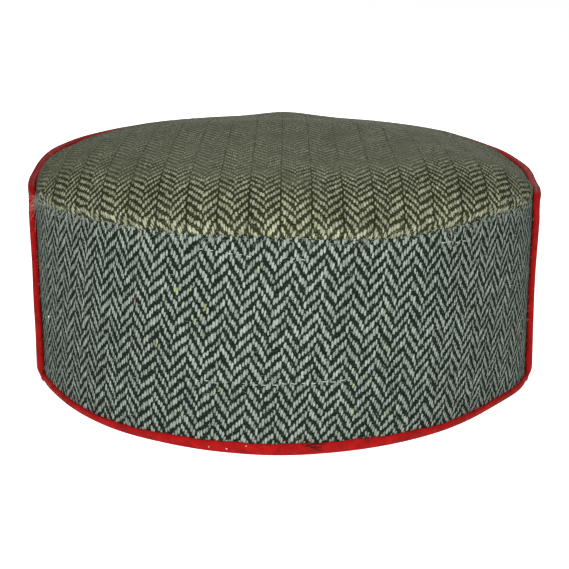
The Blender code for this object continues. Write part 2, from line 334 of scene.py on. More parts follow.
def herringbone():
    """Colour and height of the woven cloth, from the place on the flat cloth."""
    tree = bpy.data.node_groups.new("herringbone tweed", "ShaderNodeTree")
    for name in ("Pale yarn", "Dark yarn", "Fleck"):
        tree.interface.new_socket(name, in_out="INPUT", socket_type="NodeSocketColor")
    for name in ("Wear", "Felting", "Column line", "Mottle"):
        tree.interface.new_socket(name, in_out="INPUT", socket_type="NodeSocketFloat")
    tree.interface.new_socket("Colour", in_out="OUTPUT", socket_type="NodeSocketColor")
    tree.interface.new_socket("Height", in_out="OUTPUT", socket_type="NodeSocketFloat")
    given = tree.nodes.new("NodeGroupInput").outputs
    made = tree.nodes.new("NodeGroupOutput").inputs
    calc = calculator(tree)
    cloth = tree.nodes.new("ShaderNodeUVMap")
    cloth.uv_map = "cloth"
    place = cloth.outputs[0]
    across, along = yarn_place(tree, calc, place)

    # which end this is, how far its herringbone has climbed, and where the nearest pale float is on it
    end = calc("FLOOR", across)
    beside = calc("SUBTRACT", calc("FRACT", across), 0.5)
    turn = calc("FLOORED_MODULO", end, RUN)
    falling = calc("GREATER_THAN", turn, RUN / 2 - 0.5)
    mirrored = calc("SUBTRACT", RUN + 1, calc("MULTIPLY", turn, 2.0))
    climb = calc("ADD", turn, calc("MULTIPLY", falling, mirrored))
    steps = calc("ADD", calc("DIVIDE", calc("SUBTRACT", along, climb), 4.0), 0.25)
    number = calc("FLOOR", steps)
    past = calc("MULTIPLY", calc("SUBTRACT", calc("FRACT", steps), 0.5), 4.0)
    past = calc("ADD", past, calc("MULTIPLY", calc("SUBTRACT", chance(tree, end, number, 5.0), 0.5), 0.5))
    beside = calc("ADD", beside, calc("MULTIPLY", calc("SUBTRACT", chance(tree, end, number, 9.0), 0.5), 0.2))
    luck = chance(tree, end, number, 1.0)
    size = calc("ADD", 0.8, calc("MULTIPLY", chance(tree, end, number, 7.0), 0.38))
    wide = calc("POWER", calc("ABSOLUTE", calc("DIVIDE", beside, calc("MULTIPLY", size, FLOAT_WIDTH))), 2.0)
    long = calc("POWER", calc("ABSOLUTE", calc("DIVIDE", past, calc("MULTIPLY", size, FLOAT_LENGTH))), 2.6)
    ragged = calc("MULTIPLY", calc("SUBTRACT", blotches(tree, place, 2600.0, 2.0, 0.7), 0.5), 1.7)
    spread = calc("ADD", calc("ADD", wide, long), ragged)
    pale = ramp(tree, calc("SUBTRACT", 1.25, spread), 0.0, 0.5)
    hump = calc("SQRT", calc("MAXIMUM", calc("SUBTRACT", 1.0, spread), 0.0))

    # the dark picks between the floats
    pick = calc("FLOOR", along)
    over = calc("SUBTRACT", calc("FRACT", along), 0.5)
    bed = calc("SUBTRACT", 1.0, calc("MULTIPLY", calc("MULTIPLY", over, over), 4.2))
    bed = calc("SQRT", calc("MAXIMUM", bed, 0.0))
    height = calc("MAXIMUM", hump, calc("MULTIPLY", bed, 0.5))

    # uneven dyeing of each float and pick with painted shade down their rounded sides, fibres that cross the
    # yarns, and coloured flecks
    fibres = blotches(tree, place, 5200.0, 3.0, 0.75)
    dye = calc("ADD", 0.42, calc("ADD", calc("MULTIPLY", luck, 0.55), calc("MULTIPLY", fibres, 0.6)))
    # painted shade: each pale float is darker towards its edges, following the rounded hump of its top
    dye_and_float_shade = calc("MULTIPLY", dye, calc("ADD", 0.66, calc("MULTIPLY", hump, 0.42)))
    pale_tone = blend(tree, dye_and_float_shade, (0.0, 0.0, 0.0, 1.0), given["Pale yarn"])
    pale_tone.node.clamp_factor = False
    pick_dye_and_shade = calc("ADD", 0.35, calc("MULTIPLY", chance(tree, pick, end, 3.0), 0.5))
    # painted shade: each dark pick is darker towards its edges, where it dips under the floats
    pick_dye_and_shade = calc("ADD", pick_dye_and_shade, calc("MULTIPLY", fibres, calc("ADD", 0.5, calc("MULTIPLY", bed, 0.5))))
    dark_tone = blend(tree, pick_dye_and_shade, (0.0, 0.0, 0.0, 1.0), given["Dark yarn"])
    dark_tone.node.clamp_factor = False
    colour = blend(tree, pale, dark_tone, pale_tone)
    fuzz = ramp(tree, blotches(tree, place, 1500.0, 4.0, 0.8), 0.48, 0.7)
    colour = blend(tree, calc("MULTIPLY", fuzz, given["Wear"]), colour, given["Pale yarn"])
    middling = blend(tree, 0.4, given["Dark yarn"], given["Pale yarn"])
    colour = blend(tree, given["Felting"], colour, middling)
    slub = ramp(tree, blotches(tree, place, 420.0, 1.0), 0.73, 0.78)
    colour = blend(tree, calc("MULTIPLY", slub, pale), colour, given["Fleck"])

    # a thin dark line down the middle of each run, and broad darker patches
    line = calc("ABSOLUTE", calc("SUBTRACT", calc("FLOORED_MODULO", across, RUN), RUN / 2))
    line = calc("MULTIPLY", ramp(tree, calc("SUBTRACT", 0.6, line), 0.0, 0.4), given["Column line"])
    line = calc("MULTIPLY", line, calc("SUBTRACT", 1.0, given["Felting"]))
    colour = blend(tree, line, colour, given["Dark yarn"])
    patch = ramp(tree, blotches(tree, place, 60.0, 4.0, 0.65), 0.35, 0.75)
    grime = calc("SUBTRACT", 1.0, calc("MULTIPLY", patch, given["Mottle"]))
    colour = blend(tree, grime, (0.0, 0.0, 0.0, 1.0), colour)
    tree.links.new(colour, made["Colour"])
    tree.links.new(calc("ADD", height, calc("MULTIPLY", fibres, 0.25)), made["Height"])
    return tree


TWEED = herringbone()


def tweed(name, pale, dark, fleck, wear, felting, line, mottle, relief):
    """One tweed, from the shared weave and its own yarns."""
    material = bpy.data.materials.new(name)
    material.use_nodes = True
    tree = material.node_tree
    shader = tree.nodes["Principled BSDF"]
    weave = tree.nodes.new("ShaderNodeGroup")
    weave.node_tree = TWEED
    weave.inputs["Pale yarn"].default_value = pale
    weave.inputs["Dark yarn"].default_value = dark
    weave.inputs["Fleck"].default_value = fleck
    weave.inputs["Wear"].default_value = wear
    weave.inputs["Felting"].default_value = felting
    weave.inputs["Column line"].default_value = line
    weave.inputs["Mottle"].default_value = mottle
    bump = tree.nodes.new("ShaderNodeBump")
    bump.inputs["Distance"].default_value = relief
    tree.links.new(weave.outputs["Height"], bump.inputs["Height"])
    tree.links.new(bump.outputs[0], shader.inputs["Normal"])
    tree.links.new(weave.outputs["Colour"], shader.inputs["Base Color"])
    shader.inputs["Roughness"].default_value = 0.92
    shader.inputs["Specular IOR Level"].default_value = 0.04
    return material


WALL_PALE = display(107, 115, 107)
WALL_DARK = display(9, 20, 12)
WALL_FLECK = display(128, 136, 70)
WALL_RELIEF = 0.00022
WALL_TWEED = tweed("wall tweed", WALL_PALE, WALL_DARK, WALL_FLECK, 0.2, 0.0, 0.0, 0.15, WALL_RELIEF)

WALL_COLUMNS = 720
WALL_ROWS = 72
WALL_INNER_ROWS = 16


def side_wall():
    azimuth = np.linspace(-180.0, 180.0, WALL_COLUMNS + 1)[:, None]
    top = SEAM_HEIGHT + slack(azimuth, "seam")
    share = np.linspace(0.0, 1.0, WALL_ROWS)[None, :]
    height = FOOT + (top - WALL_ROUND - FOOT) * share
    radius = wall_radius(azimuth, height)
    bend = np.radians([22.5, 45.0, 67.5, 90.0])[None, :]
    bend_height = top - WALL_ROUND + WALL_ROUND * np.sin(bend)
    bend_radius = wall_radius(azimuth, top - WALL_ROUND) - WALL_ROUND * (1.0 - np.cos(bend))
    inner_share = np.linspace(1.0, 0.0, WALL_INNER_ROWS)[None, :]
    inner_height = FOOT + (top - FOOT) * inner_share
    inner_radius = wall_radius(azimuth, inner_height) - WALL
    close_height = np.full_like(azimuth, FOOT)
    heights = np.concatenate([height, bend_height, inner_height, close_height], 1)
    radii = np.concatenate([radius, bend_radius, inner_radius, wall_radius(azimuth, close_height)], 1)
    return skin("side_wall_tweed", on_plan(azimuth, radii, heights), on_wall_cloth(azimuth, heights), False)


wall = side_wall()
wall.data.materials.append(WALL_TWEED)
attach(wall, "root")
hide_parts("side_wall")


def on_wall(azimuth, height, proud):
    """World place a little proud of the wall's face."""
    return on_plan(azimuth, wall_radius(azimuth, height) + proud, height)


def threads(name, paths, radius, taper=0.35):
    """One mesh of round threads, each along its own row of points."""
    paths = np.asarray(paths, float)
    count, points = paths.shape[:2]
    heading = np.gradient(paths, axis=1)
    heading /= np.linalg.norm(heading, axis=2, keepdims=True) + 1e-12
    side = np.cross(heading, np.array([0.31, 0.52, 0.79]))
    side /= np.linalg.norm(side, axis=2, keepdims=True) + 1e-12
    other = np.cross(heading, side)
    thick = np.broadcast_to(np.asarray(radius, float), (count,))[:, None, None]
    share = np.abs(np.linspace(-1.0, 1.0, points))[None, :, None]
    thick = thick * (1.0 - (1.0 - taper) * share ** 4)
    turns = np.radians([0.0, 90.0, 180.0, 270.0])
    rings = [paths + thick * (side * math.cos(turn) + other * math.sin(turn)) for turn in turns]
    places = np.stack(rings, 2)
    index = np.arange(count * points * 4).reshape(count, points, 4)
    ahead = np.roll(index, -1, axis=2)
    quads = np.stack([index[:, :-1], ahead[:, :-1], ahead[:, 1:], index[:, 1:]], -1).reshape(-1, 4).tolist()
    quads += index[:, 0, ::-1].tolist() + index[:, -1].tolist()
    mesh = bpy.data.meshes.new(name)
    mesh.from_pydata(places.reshape(-1, 3).tolist(), [], quads)
    mesh.shade_smooth()
    piece = bpy.data.objects.new(name, mesh)
    bpy.context.collection.objects.link(piece)
    return piece


def yarn_paint(name, colour):
    """Plain matt wool or cotton thread, uneven along its length."""
    material = bpy.data.materials.new(name)
    material.use_nodes = True
    tree = material.node_tree
    shader = tree.nodes["Principled BSDF"]
    place = tree.nodes.new("ShaderNodeTexCoord").outputs["Object"]
    tone = ramp(tree, blotches(tree, place, 900.0, 3.0, 0.7), 0.3, 0.7)
    deep = tuple([value * 0.55 for value in colour[:3]] + [1.0])
    tree.links.new(blend(tree, tone, deep, colour), shader.inputs["Base Color"])
    shader.inputs["Roughness"].default_value = 0.9
    shader.inputs["Specular IOR Level"].default_value = 0.15
    return material


# Rows of hand stitches that hold the stiffening: one low on the back and short ones just under the seam
STITCH_PITCH = 1.75
STITCH_SHARE = 0.62
STITCH_RADIUS = 0.00016
Row = namedtuple("Row", "first last low high")
STITCH_ROWS = (
    Row(-17.5, 11.5, 0.0228, 0.0240),
    Row(-15.5, -6.5, 0.0636, 0.0628),
    Row(-0.5, 6.0, 0.0624, 0.0611),
    Row(31.0, 36.5, 0.0634, 0.0620),
)


def stitch_paths():
    rng = np.random.default_rng(11)
    paths = []
    for row in STITCH_ROWS:
        for start in np.arange(row.first, row.last, STITCH_PITCH):
            share = (start - row.first) / (row.last - row.first)
            height = row.low + (row.high - row.low) * share + rng.normal(0.0, 0.00018)
            azimuth = start + np.linspace(0.0, STITCH_PITCH * STITCH_SHARE * rng.uniform(0.8, 1.15), 7)
            slope = rng.normal(0.0, 0.00012) * np.linspace(-1.0, 1.0, 7)
            proud = 0.0002 * np.sin(np.linspace(0.0, math.pi, 7)) - 0.00005
            paths.append(on_wall(azimuth, height + slope, proud))
    return paths


stitches = threads("wall_stitches", stitch_paths(), STITCH_RADIUS)
stitches.data.materials.append(yarn_paint("stitch thread", display(150, 156, 142)))
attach(stitches, "root")

# Slubs and neps: thick bits of coloured wool spun into the yarn, where they show on the real wall
Slub = namedtuple("Slub", "azimuth height length turn thick colour")
SLUBS = (
    Slub(-19.5, 0.0505, 0.0022, 50, 0.00022, "moss"),
    Slub(-14.0, 0.0460, 0.0030, 65, 0.00024, "moss"),
    Slub(-15.8, 0.0420, 0.0016, 20, 0.0002, "moss"),
    Slub(-23.3, 0.0320, 0.0018, 70, 0.00022, "moss"),
    Slub(-11.0, 0.0205, 0.0020, 40, 0.0002, "moss"),
    Slub(-28.0, 0.0455, 0.0017, 30, 0.0003, "rust"),
    Slub(-55.3, 0.0270, 0.0007, 80, 0.00032, "white"),
    Slub(56.3, 0.0220, 0.0045, 85, 0.00014, "rust"),
    Slub(54.8, 0.0250, 0.0030, 75, 0.00012, "rust"),
)
SLUB_COLOURS = {
    "moss": display(132, 140, 62),
    "rust": display(96, 52, 38),
    "white": display(215, 215, 205),
}
for colour_name, colour in SLUB_COLOURS.items():
    slub_paths = []
    slub_thick = []
    for slub in SLUBS:
        if slub.colour != colour_name:
            continue
        share = np.linspace(-0.5, 0.5, 7)
        tilt = math.radians(slub.turn)
        along = slub.length * share * math.cos(tilt)
        rise_up = slub.length * share * math.sin(tilt) + 0.0002 * np.sin(share * 9.0)
        place_azimuth = slub.azimuth + np.degrees(along / RIM_HALF_WIDTH)
        slub_paths.append(on_wall(place_azimuth, slub.height + rise_up, 0.00008))
        slub_thick.append(slub.thick)
    wool = threads("wall_slubs_" + colour_name, slub_paths, slub_thick, 0.2)
    wool.data.materials.append(yarn_paint("wool " + colour_name, colour))
    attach(wool, "root")

# Crown
# A round of the same cloth, coloured a warmer, paler olive that is painted warm light from above, domed over
# the head with its edge rolled down to the seam and a small soft bump left at its front by the seam's
# fullness.
CROWN = 0.0012
CROWN_ROLL = 0.0016
CROWN_STEP = -0.00015
DOME = 0.0103
BACK_FALL = 7.3
FRONT_FALL = 1.6
PUFF = 0.0018
PUFF_INSET = 0.014
PUFF_SPREAD = 0.0095
CROWN_EDGE = SEAM_HEIGHT - 0.0006
CROWN_RUFFLE = 0.0005
CROWN_TOP = SEAM_HEIGHT + 0.0019
CROWN_COLUMNS = 540
CROWN_RINGS = 84
CROWN_UNDER_RINGS = 20
CROWN_START = (0.0058, 0.0)
CROWN_CREASE = 0.0002


def crown_edge(azimuth):
    return wall_radius(azimuth, SEAM_HEIGHT) - CROWN_STEP


def crown_rise(azimuth, radius):
    """Height of the crown above its edge: a dome, fuller at the back, a soft bump and slack in the cloth."""
    angle = np.radians(azimuth)
    x = radius * np.sin(angle)
    y = -radius * np.cos(angle)
    reach = radius / crown_edge(azimuth)
    fall = BACK_FALL + (FRONT_FALL - BACK_FALL) * smooth(0.5 + y / SEAM_BACK_DEPTH)
    puff_y = SEAM_FRONT_DEPTH - SEAM_TUCK - PUFF_INSET
    puff = np.exp(-(x * x + (y - puff_y) ** 2) / (2.0 * PUFF_SPREAD ** 2))
    crease = np.sin(x * 140.0 + 1.2 * np.sin(y * 70.0)) * np.sin(y * 95.0 + x * 60.0 + 0.7)
    return DOME * (1.0 - reach ** fall) + PUFF * puff + CROWN_CREASE * crease * (1.0 - reach ** 4)


def crown_piece():
    azimuth = np.linspace(-180.0, 180.0, CROWN_COLUMNS + 1)[:, None]
    rise = slack(azimuth, "seam")
    top = CROWN_TOP + rise
    flat = crown_edge(azimuth) - CROWN_ROLL
    share = np.sin(np.linspace(0.0, math.pi / 2.0, CROWN_RINGS))[None, :]
    radius = flat * share
    height = top - rise * (1.0 - share ** 2) + crown_rise(azimuth, radius)
    drop = crown_rise(azimuth, flat)
    bend = np.radians([70.0, 55.0, 40.0, 25.0, 12.0, 0.0])[None, :]
    roll_radius = flat + CROWN_ROLL * np.cos(bend)
    roll_height = top - CROWN_ROLL + (CROWN_ROLL + drop) * np.sin(bend)
    low = CROWN_EDGE + rise + CROWN_RUFFLE * pucker(azimuth, 1.1)
    edge = crown_edge(azimuth)
    under_share = np.sin(np.linspace(math.pi / 2.0, 0.0, CROWN_UNDER_RINGS))[None, :]
    under_radius = (edge - CROWN - 0.0002) * under_share
    under_height = top - CROWN - rise * (1.0 - under_share ** 2) + crown_rise(azimuth, under_radius)
    lip_radius = np.concatenate([edge, edge - CROWN], 1)
    lip_height = np.concatenate([low, low], 1)
    radii = np.concatenate([radius, roll_radius, lip_radius, under_radius], 1)
    heights = np.concatenate([height, roll_height, lip_height, under_height], 1)
    run = np.hypot(np.diff(radii, axis=1), np.diff(heights, axis=1))
    length = np.concatenate([np.zeros_like(azimuth), np.cumsum(run, 1)], 1)
    length[:, -CROWN_UNDER_RINGS:] = radii[:, -CROWN_UNDER_RINGS:]
    angle = np.radians(azimuth)
    near_seam = smooth((radii / edge - 1.0) * 18.0 + 1.0) * SEAM_PUCKER
    length = length + near_seam * pucker(azimuth, 4.0)
    sideways = near_seam * pucker(azimuth, 5.0)
    flat_x = length * np.sin(angle) + sideways * np.cos(angle) + CROWN_START[0]
    flat_y = -length * np.cos(angle) + sideways * np.sin(angle) + CROWN_START[1]
    flat_place = np.stack([flat_x, flat_y], -1)
    return skin("crown_tweed", on_plan(azimuth, radii, heights), flat_place, False)


# painted warm light: the crown's yarns are coloured warmer and paler than the wall's for warm light from
# above
CROWN_WARM_LIT_PALE = display(125, 128, 106)
CROWN_WARM_LIT_DARK = display(24, 28, 11)
CROWN_WARM_LIT_FLECK = display(120, 122, 70)
CROWN_RELIEF = 0.00018
crown = crown_piece()
CROWN_TWEED = tweed("crown tweed", CROWN_WARM_LIT_PALE, CROWN_WARM_LIT_DARK, CROWN_WARM_LIT_FLECK, 0.35, 0.3, 0.85, 0.3, CROWN_RELIEF)

# Where the felt starts and is full: by distance from the crown's middle, and by place from back to front
FELT_INSET_FROM = 0.071
FELT_INSET_TO = 0.046
FELT_RAGGED = 0.018
FELT_FRONT_FROM_TO = (-0.05, -0.028)


def felt_crown(material):
    """Rubs the crown's weave down to a flatter felt away from its edge and over its front, in patches."""
    tree = material.node_tree
    calc = calculator(tree)
    cloth = tree.nodes.new("ShaderNodeUVMap")
    cloth.uv_map = "cloth"
    split = tree.nodes.new("ShaderNodeSeparateXYZ")
    tree.links.new(cloth.outputs[0], split.inputs[0])
    reach = tree.nodes.new("ShaderNodeVectorMath")
    reach.operation = "LENGTH"
    tree.links.new(cloth.outputs[0], reach.inputs[0])
    patch = ramp(tree, blotches(tree, cloth.outputs[0], 55.0, 3.0, 0.6), 0.3, 0.7)
    ragged = calc("SUBTRACT", calc("MULTIPLY", patch, FELT_RAGGED), reach.outputs["Value"])
    inner = ramp(tree, ragged, -FELT_INSET_FROM, -FELT_INSET_TO)
    rubbed = calc("MAXIMUM", inner, ramp(tree, split.outputs[1], *FELT_FRONT_FROM_TO))
    share = calc("MULTIPLY", rubbed, calc("ADD", 0.32, calc("MULTIPLY", patch, 0.4)))
    weave = next(node for node in tree.nodes if node.type == "GROUP")
    tree.links.new(calc("ADD", 0.04, share), weave.inputs["Felting"])


felt_crown(CROWN_TWEED)
crown.data.materials.append(CROWN_TWEED)
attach(crown, "root")
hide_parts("crown")

# Front flap
# The same tweed, doubled, folded up from the foot of the wall and standing outside it round the front and
# both sides, with rounded top corners.
BAND = 0.0040
CORNER_ROOM = 0.0022
FLAP_CORNER = BAND + CORNER_ROOM
FLAP_TOP = SEAM_HEIGHT - TAPE_REACH
FLAP_COLUMNS = 460
FLAP_ROWS = 64
CORNER_CUTS = 24


def arc_degrees(length):
    return np.degrees(length / RIM_BACK_DEPTH)


def corner_stations(cuts):
    """Round the flap's top corner: in from its end, down from its top, and the heading from its edge."""
    angle = np.radians(np.linspace(0.0, 90.0, cuts + 1))
    across = np.cos(angle)
    down = np.sin(angle)
    return FLAP_CORNER * (1.0 - across), FLAP_CORNER * (1.0 - down), across, down


SWEEP_LEFT = 5.5
SWEEP_RIGHT = 1.5
SWEEP_SPAN = 12.0
SWEEP_LOW = 0.018
SWEEP_HIGH = 0.042
FOOT_PRESS = 0.4
FOOT_HEIGHT = 0.005
END_PRESS = 0.25


def sweep(azimuth, height, offset):
    """Leans each flap's end back along the rim lower down and presses its foot in, to meet the rim's tape."""
    turned = (azimuth + 180.0) % 360.0 - 180.0
    near = smooth(1.0 - (abs(turned) - FLAP_END) / SWEEP_SPAN)
    low = near * smooth((SWEEP_HIGH - height) / (SWEEP_HIGH - SWEEP_LOW))
    turn = np.where(turned < 0.0, -SWEEP_LEFT, SWEEP_RIGHT)
    foot = near * smooth(1.0 - height / FOOT_HEIGHT)
    return azimuth - turn * low, offset * (1.0 - END_PRESS * near - FOOT_PRESS * foot)


def flap_piece():
    along, drop, _, _ = corner_stations(CORNER_CUTS)
    rise_azimuth = FLAP_END + arc_degrees(along)
    middle = np.linspace(rise_azimuth[-1], 360.0 - rise_azimuth[-1], FLAP_COLUMNS)
    azimuth = np.concatenate([rise_azimuth[:-1], middle, 360.0 - rise_azimuth[:-1][::-1]])[:, None]
    top = FLAP_TOP - np.concatenate([drop[:-1], np.zeros_like(middle), drop[:-1][::-1]])[:, None]
    top = top + slack(azimuth, "flap")
    outer = STANDOFF + FLAP
    bend = np.radians(np.linspace(90.0, 0.0, 5))[None, :]
    fold_offset = outer - FLAP + FLAP * np.cos(bend)
    fold_height = FLAP - FLAP * np.sin(bend)
    up = FLAP + (top - FLAP) * np.linspace(0.0, 1.0, FLAP_ROWS)[None, 1:]
    down = FLAP + (top - FLAP) * np.linspace(1.0, 0.0, 48)[None, :]
    one = np.ones_like(azimuth)
    offsets = [-WALL * one, -WALL * one, fold_offset * one]
    offsets += [outer * np.ones_like(up), STANDOFF * np.ones_like(down)]
    heights = [FLAP * one, 0.0 * one, fold_height * one, up, down]
    offset = np.concatenate(offsets + [-WALL * one], 1)
    height = np.concatenate(heights + [FLAP * one], 1)
    azimuth, offset = sweep(azimuth, height, offset)
    grid = on_plan(azimuth, wall_radius(azimuth, height) + offset, height)
    return skin("front_flap_tweed", grid, on_wall_cloth(azimuth, -height), False)


flap = flap_piece()
flap.data.materials.append(
    tweed("flap tweed", WALL_PALE, WALL_DARK, WALL_FLECK, 0.2, 0.0, 0.0, 0.15, WALL_RELIEF)
)
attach(flap, "root")
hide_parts("front_flap")

# Rim binding
# Red cotton tape folded over the bottom edge of the back wall and stitched through, a little uneven in width.
# It ends under the flap's feet.
TAPE_RED = display(140, 8, 6)
# TAPE_SHADE is painted shade: the tape's colour in the creases of its rumples
TAPE_SHADE = display(86, 4, 4)
TAPE_THREADS = 3400.0
TAPE_RELIEF = 0.0005
Reach = namedtuple("Reach", "azimuth share")
REACHES = (
    Reach(-75, 0.95),
    Reach(-62, 0.75),
    Reach(-45, 0.62),
    Reach(-32, 0.64),
    Reach(-15, 0.88),
    Reach(0, 0.97),
    Reach(15, 0.92),
    Reach(32, 0.66),
    Reach(50, 0.6),
    Reach(64, 0.7),
    Reach(75, 0.95),
)
RIM_STATIONS = 520
RIM_SOFTNESS = 0.0005
WEB_OFFSET = 0.00005
EDGE_BULGE = 0.0002
EDGE_DIP = 0.00035


def red_tape():
    """Plain-woven cotton tape: fine threads both ways, uneven in grain, with painted shade that darkens the
    creases of its rumpled bump.
    """
    material = bpy.data.materials.new("red cotton tape")
    material.use_nodes = True
    tree = material.node_tree
    shader = tree.nodes["Principled BSDF"]
    calc = calculator(tree)
    cloth = tree.nodes.new("ShaderNodeUVMap")
    cloth.uv_map = "cloth"
    place = cloth.outputs[0]
    split = tree.nodes.new("ShaderNodeSeparateXYZ")
    tree.links.new(place, split.inputs[0])
    warp = calc("ABSOLUTE", calc("SINE", calc("MULTIPLY", split.outputs[0], TAPE_THREADS * math.pi)))
    weft = calc("ABSOLUTE", calc("SINE", calc("MULTIPLY", split.outputs[1], TAPE_THREADS * math.pi)))
    rumple = blotches(tree, place, 240.0, 4.0, 0.6)
    grain = blotches(tree, place, 3000.0, 2.0, 0.7)
    height = calc("ADD", calc("MULTIPLY", calc("ADD", warp, weft), 0.12), rumple)
    bump = tree.nodes.new("ShaderNodeBump")
    bump.inputs["Distance"].default_value = TAPE_RELIEF
    tree.links.new(height, bump.inputs["Height"])
    tree.links.new(bump.outputs[0], shader.inputs["Normal"])
    # painted shade: the tape darkens to TAPE_SHADE where its rumple bump is low, with grain adding random
    # tone
    tone = calc("ADD", calc("MULTIPLY", rumple, 1.1), calc("MULTIPLY", grain, 0.35))
    colour = blend(tree, ramp(tree, tone, 0.35, 1.0), TAPE_SHADE, TAPE_RED)
    tree.links.new(colour, shader.inputs["Base Color"])
    shader.inputs["Roughness"].default_value = 0.75
    shader.inputs["Specular IOR Level"].default_value = 0.08
    return material


RED_TAPE = red_tape()


def rim_reach(azimuth):
    """Height of the tape's upper edge, with small puckers at its stitches."""
    rows = [row.azimuth for row in REACHES]
    share = np.interp(azimuth, rows, [row.share for row in REACHES])
    angle = np.radians(azimuth)
    pinch = 0.03 * np.sin(angle * 31.0) + 0.025 * np.sin(angle * 83.0 + 1.0)
    return BAND * (share + pinch)


def rim_piece():
    azimuth = np.linspace(SWEEP_LEFT - FLAP_END - 0.8, FLAP_END - SWEEP_RIGHT + 0.8, RIM_STATIONS)[:, None]
    reach = rim_reach(azimuth)
    face = np.linspace(1.0, 0.0, 9)[None, :]
    soft = RIM_SOFTNESS
    outer_height = soft + (reach - soft) * face
    outer_offset = TAPE_REACH - EDGE_DIP * face ** 6 + EDGE_BULGE * np.sin(math.pi * face)
    bend = np.radians([22.5, 45.0, 67.5, 90.0])[None, :]
    one = np.ones_like(azimuth)
    low_offset = TAPE_REACH - soft * (1.0 - np.cos(bend))
    low_height = soft * (1.0 - np.sin(bend))
    inner_bend = bend[:, ::-1]
    back_offset = -WALL - TAPE_REACH + soft * (1.0 - np.cos(inner_bend))
    back_height = soft * (1.0 - np.sin(inner_bend))
    inner_height = np.concatenate([soft + 0.0 * reach, (soft + reach) / 2.0, reach], 1)
    offset = [outer_offset * one, low_offset * one, back_offset * one]
    offset += [(-WALL - TAPE_REACH) * np.ones((1, 3)) * one]
    height = [outer_height, low_height * one, back_height * one, inner_height]
    web = FOOT - GAP
    offset += [(-WALL - GAP) * one, (-WALL - GAP) * one]
    offset += [WEB_OFFSET * one, WEB_OFFSET * one, outer_offset[:, :1] * one]
    height += [reach, web * one, web * one, reach, reach]
    offset = np.concatenate(offset, 1)
    height = np.concatenate(height, 1)
    grid = on_plan(azimuth, wall_radius(azimuth, height) + offset, height)
    run = np.linalg.norm(np.diff(grid, axis=1), axis=2)
    length = np.concatenate([np.zeros_like(azimuth), np.cumsum(run, 1)], 1)
    flat_place = np.stack([np.broadcast_to(girth(azimuth), length.shape), length], -1)
    return skin("rim_binding_tape", grid, flat_place, True)


rim = rim_piece()
rim.data.materials.append(RED_TAPE)
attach(rim, "root")
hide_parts("rim_binding")

# Ends of black sewing thread where the real tape is torn, and white specks of cotton
HOLE_THREADS = (
    ((3.7, 0.0040), (4.3, 0.0032), (5.0, 0.0035), (5.6, 0.0026), (6.3, 0.0029), (7.4, 0.0022)),
    ((4.4, 0.0044), (4.9, 0.0036), (5.3, 0.0028), (5.9, 0.0024), (6.6, 0.0018), (7.9, 0.0012)),
    ((5.2, 0.0036), (5.6, 0.0040), (6.2, 0.0037), (6.7, 0.0041), (7.2, 0.0034), (7.6, 0.0038)),
)
SPECKS = (
    ((-12.9, 0.0014), (-12.8, 0.0016), (-12.7, 0.0017)),
    ((-9.7, 0.0016), (-9.6, 0.0015), (-9.4, 0.0016)),
    ((-6.2, 0.0030), (-6.1, 0.0031), (-6.0, 0.0030)),
)


def tape_threads(name, lines, radius, colour, lift):
    """Thread ends lying on the rim's tape."""
    lines = np.array(lines)
    wavy = lift * (1.0 + np.sin(np.arange(lines.shape[1]) * 2.1))[None, :]
    places = on_wall(lines[..., 0], lines[..., 1], TAPE_REACH + 0.0001 + wavy)
    piece = threads(name, places, radius, 0.5)
    piece.data.materials.append(yarn_paint(name, display(*colour)))
    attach(piece, "root")


tape_threads("black_thread", HOLE_THREADS, 0.00016, (14, 10, 10), 0.00012)
tape_threads("white_specks", SPECKS, 0.00016, (225, 210, 200), 0.00003)

# Flap binding
# The same red tape, carried on up the flap's ends, round its corners and along its top edge. On the real cap
# it is one strip with the rim's.
FLAP_STRAIGHT_CUTS = 60
FLAP_CORNER_CUTS = 30
FLAP_LEVEL_CUTS = 560
FLAP_TAPE_FOOT = 0.0001
FLAP_TAPE_SOFTNESS = 0.001
FLAP_TAPE_BULGE = 0.00018
FLAP_TAPE_DIP = 0.0003


def flap_path():
    """The flap's edge from foot to foot: azimuth, height and the cloth's heading from its edge."""
    along, drop, across, down = corner_stations(FLAP_CORNER_CUTS)
    straight = np.linspace(FLAP_TAPE_FOOT, FLAP_TOP - FLAP_CORNER, FLAP_STRAIGHT_CUTS)[:-1]
    azimuth = np.concatenate([np.full_like(straight, FLAP_END), FLAP_END + arc_degrees(along)])
    height = np.concatenate([straight, FLAP_TOP - drop])
    across = np.concatenate([np.ones_like(straight), across])
    down = np.concatenate([np.zeros_like(straight), down])
    level = np.linspace(azimuth[-1], 360.0 - azimuth[-1], FLAP_LEVEL_CUTS)[1:-1]
    flat = np.ones_like(level)
    return (
        np.concatenate([azimuth, level, 360.0 - azimuth[::-1]])[:, None],
        np.concatenate([height, FLAP_TOP * flat, height[::-1]])[:, None],
        np.concatenate([across, 0.0 * flat, -across[::-1]])[:, None],
        np.concatenate([down, flat, down[::-1]])[:, None],
    )


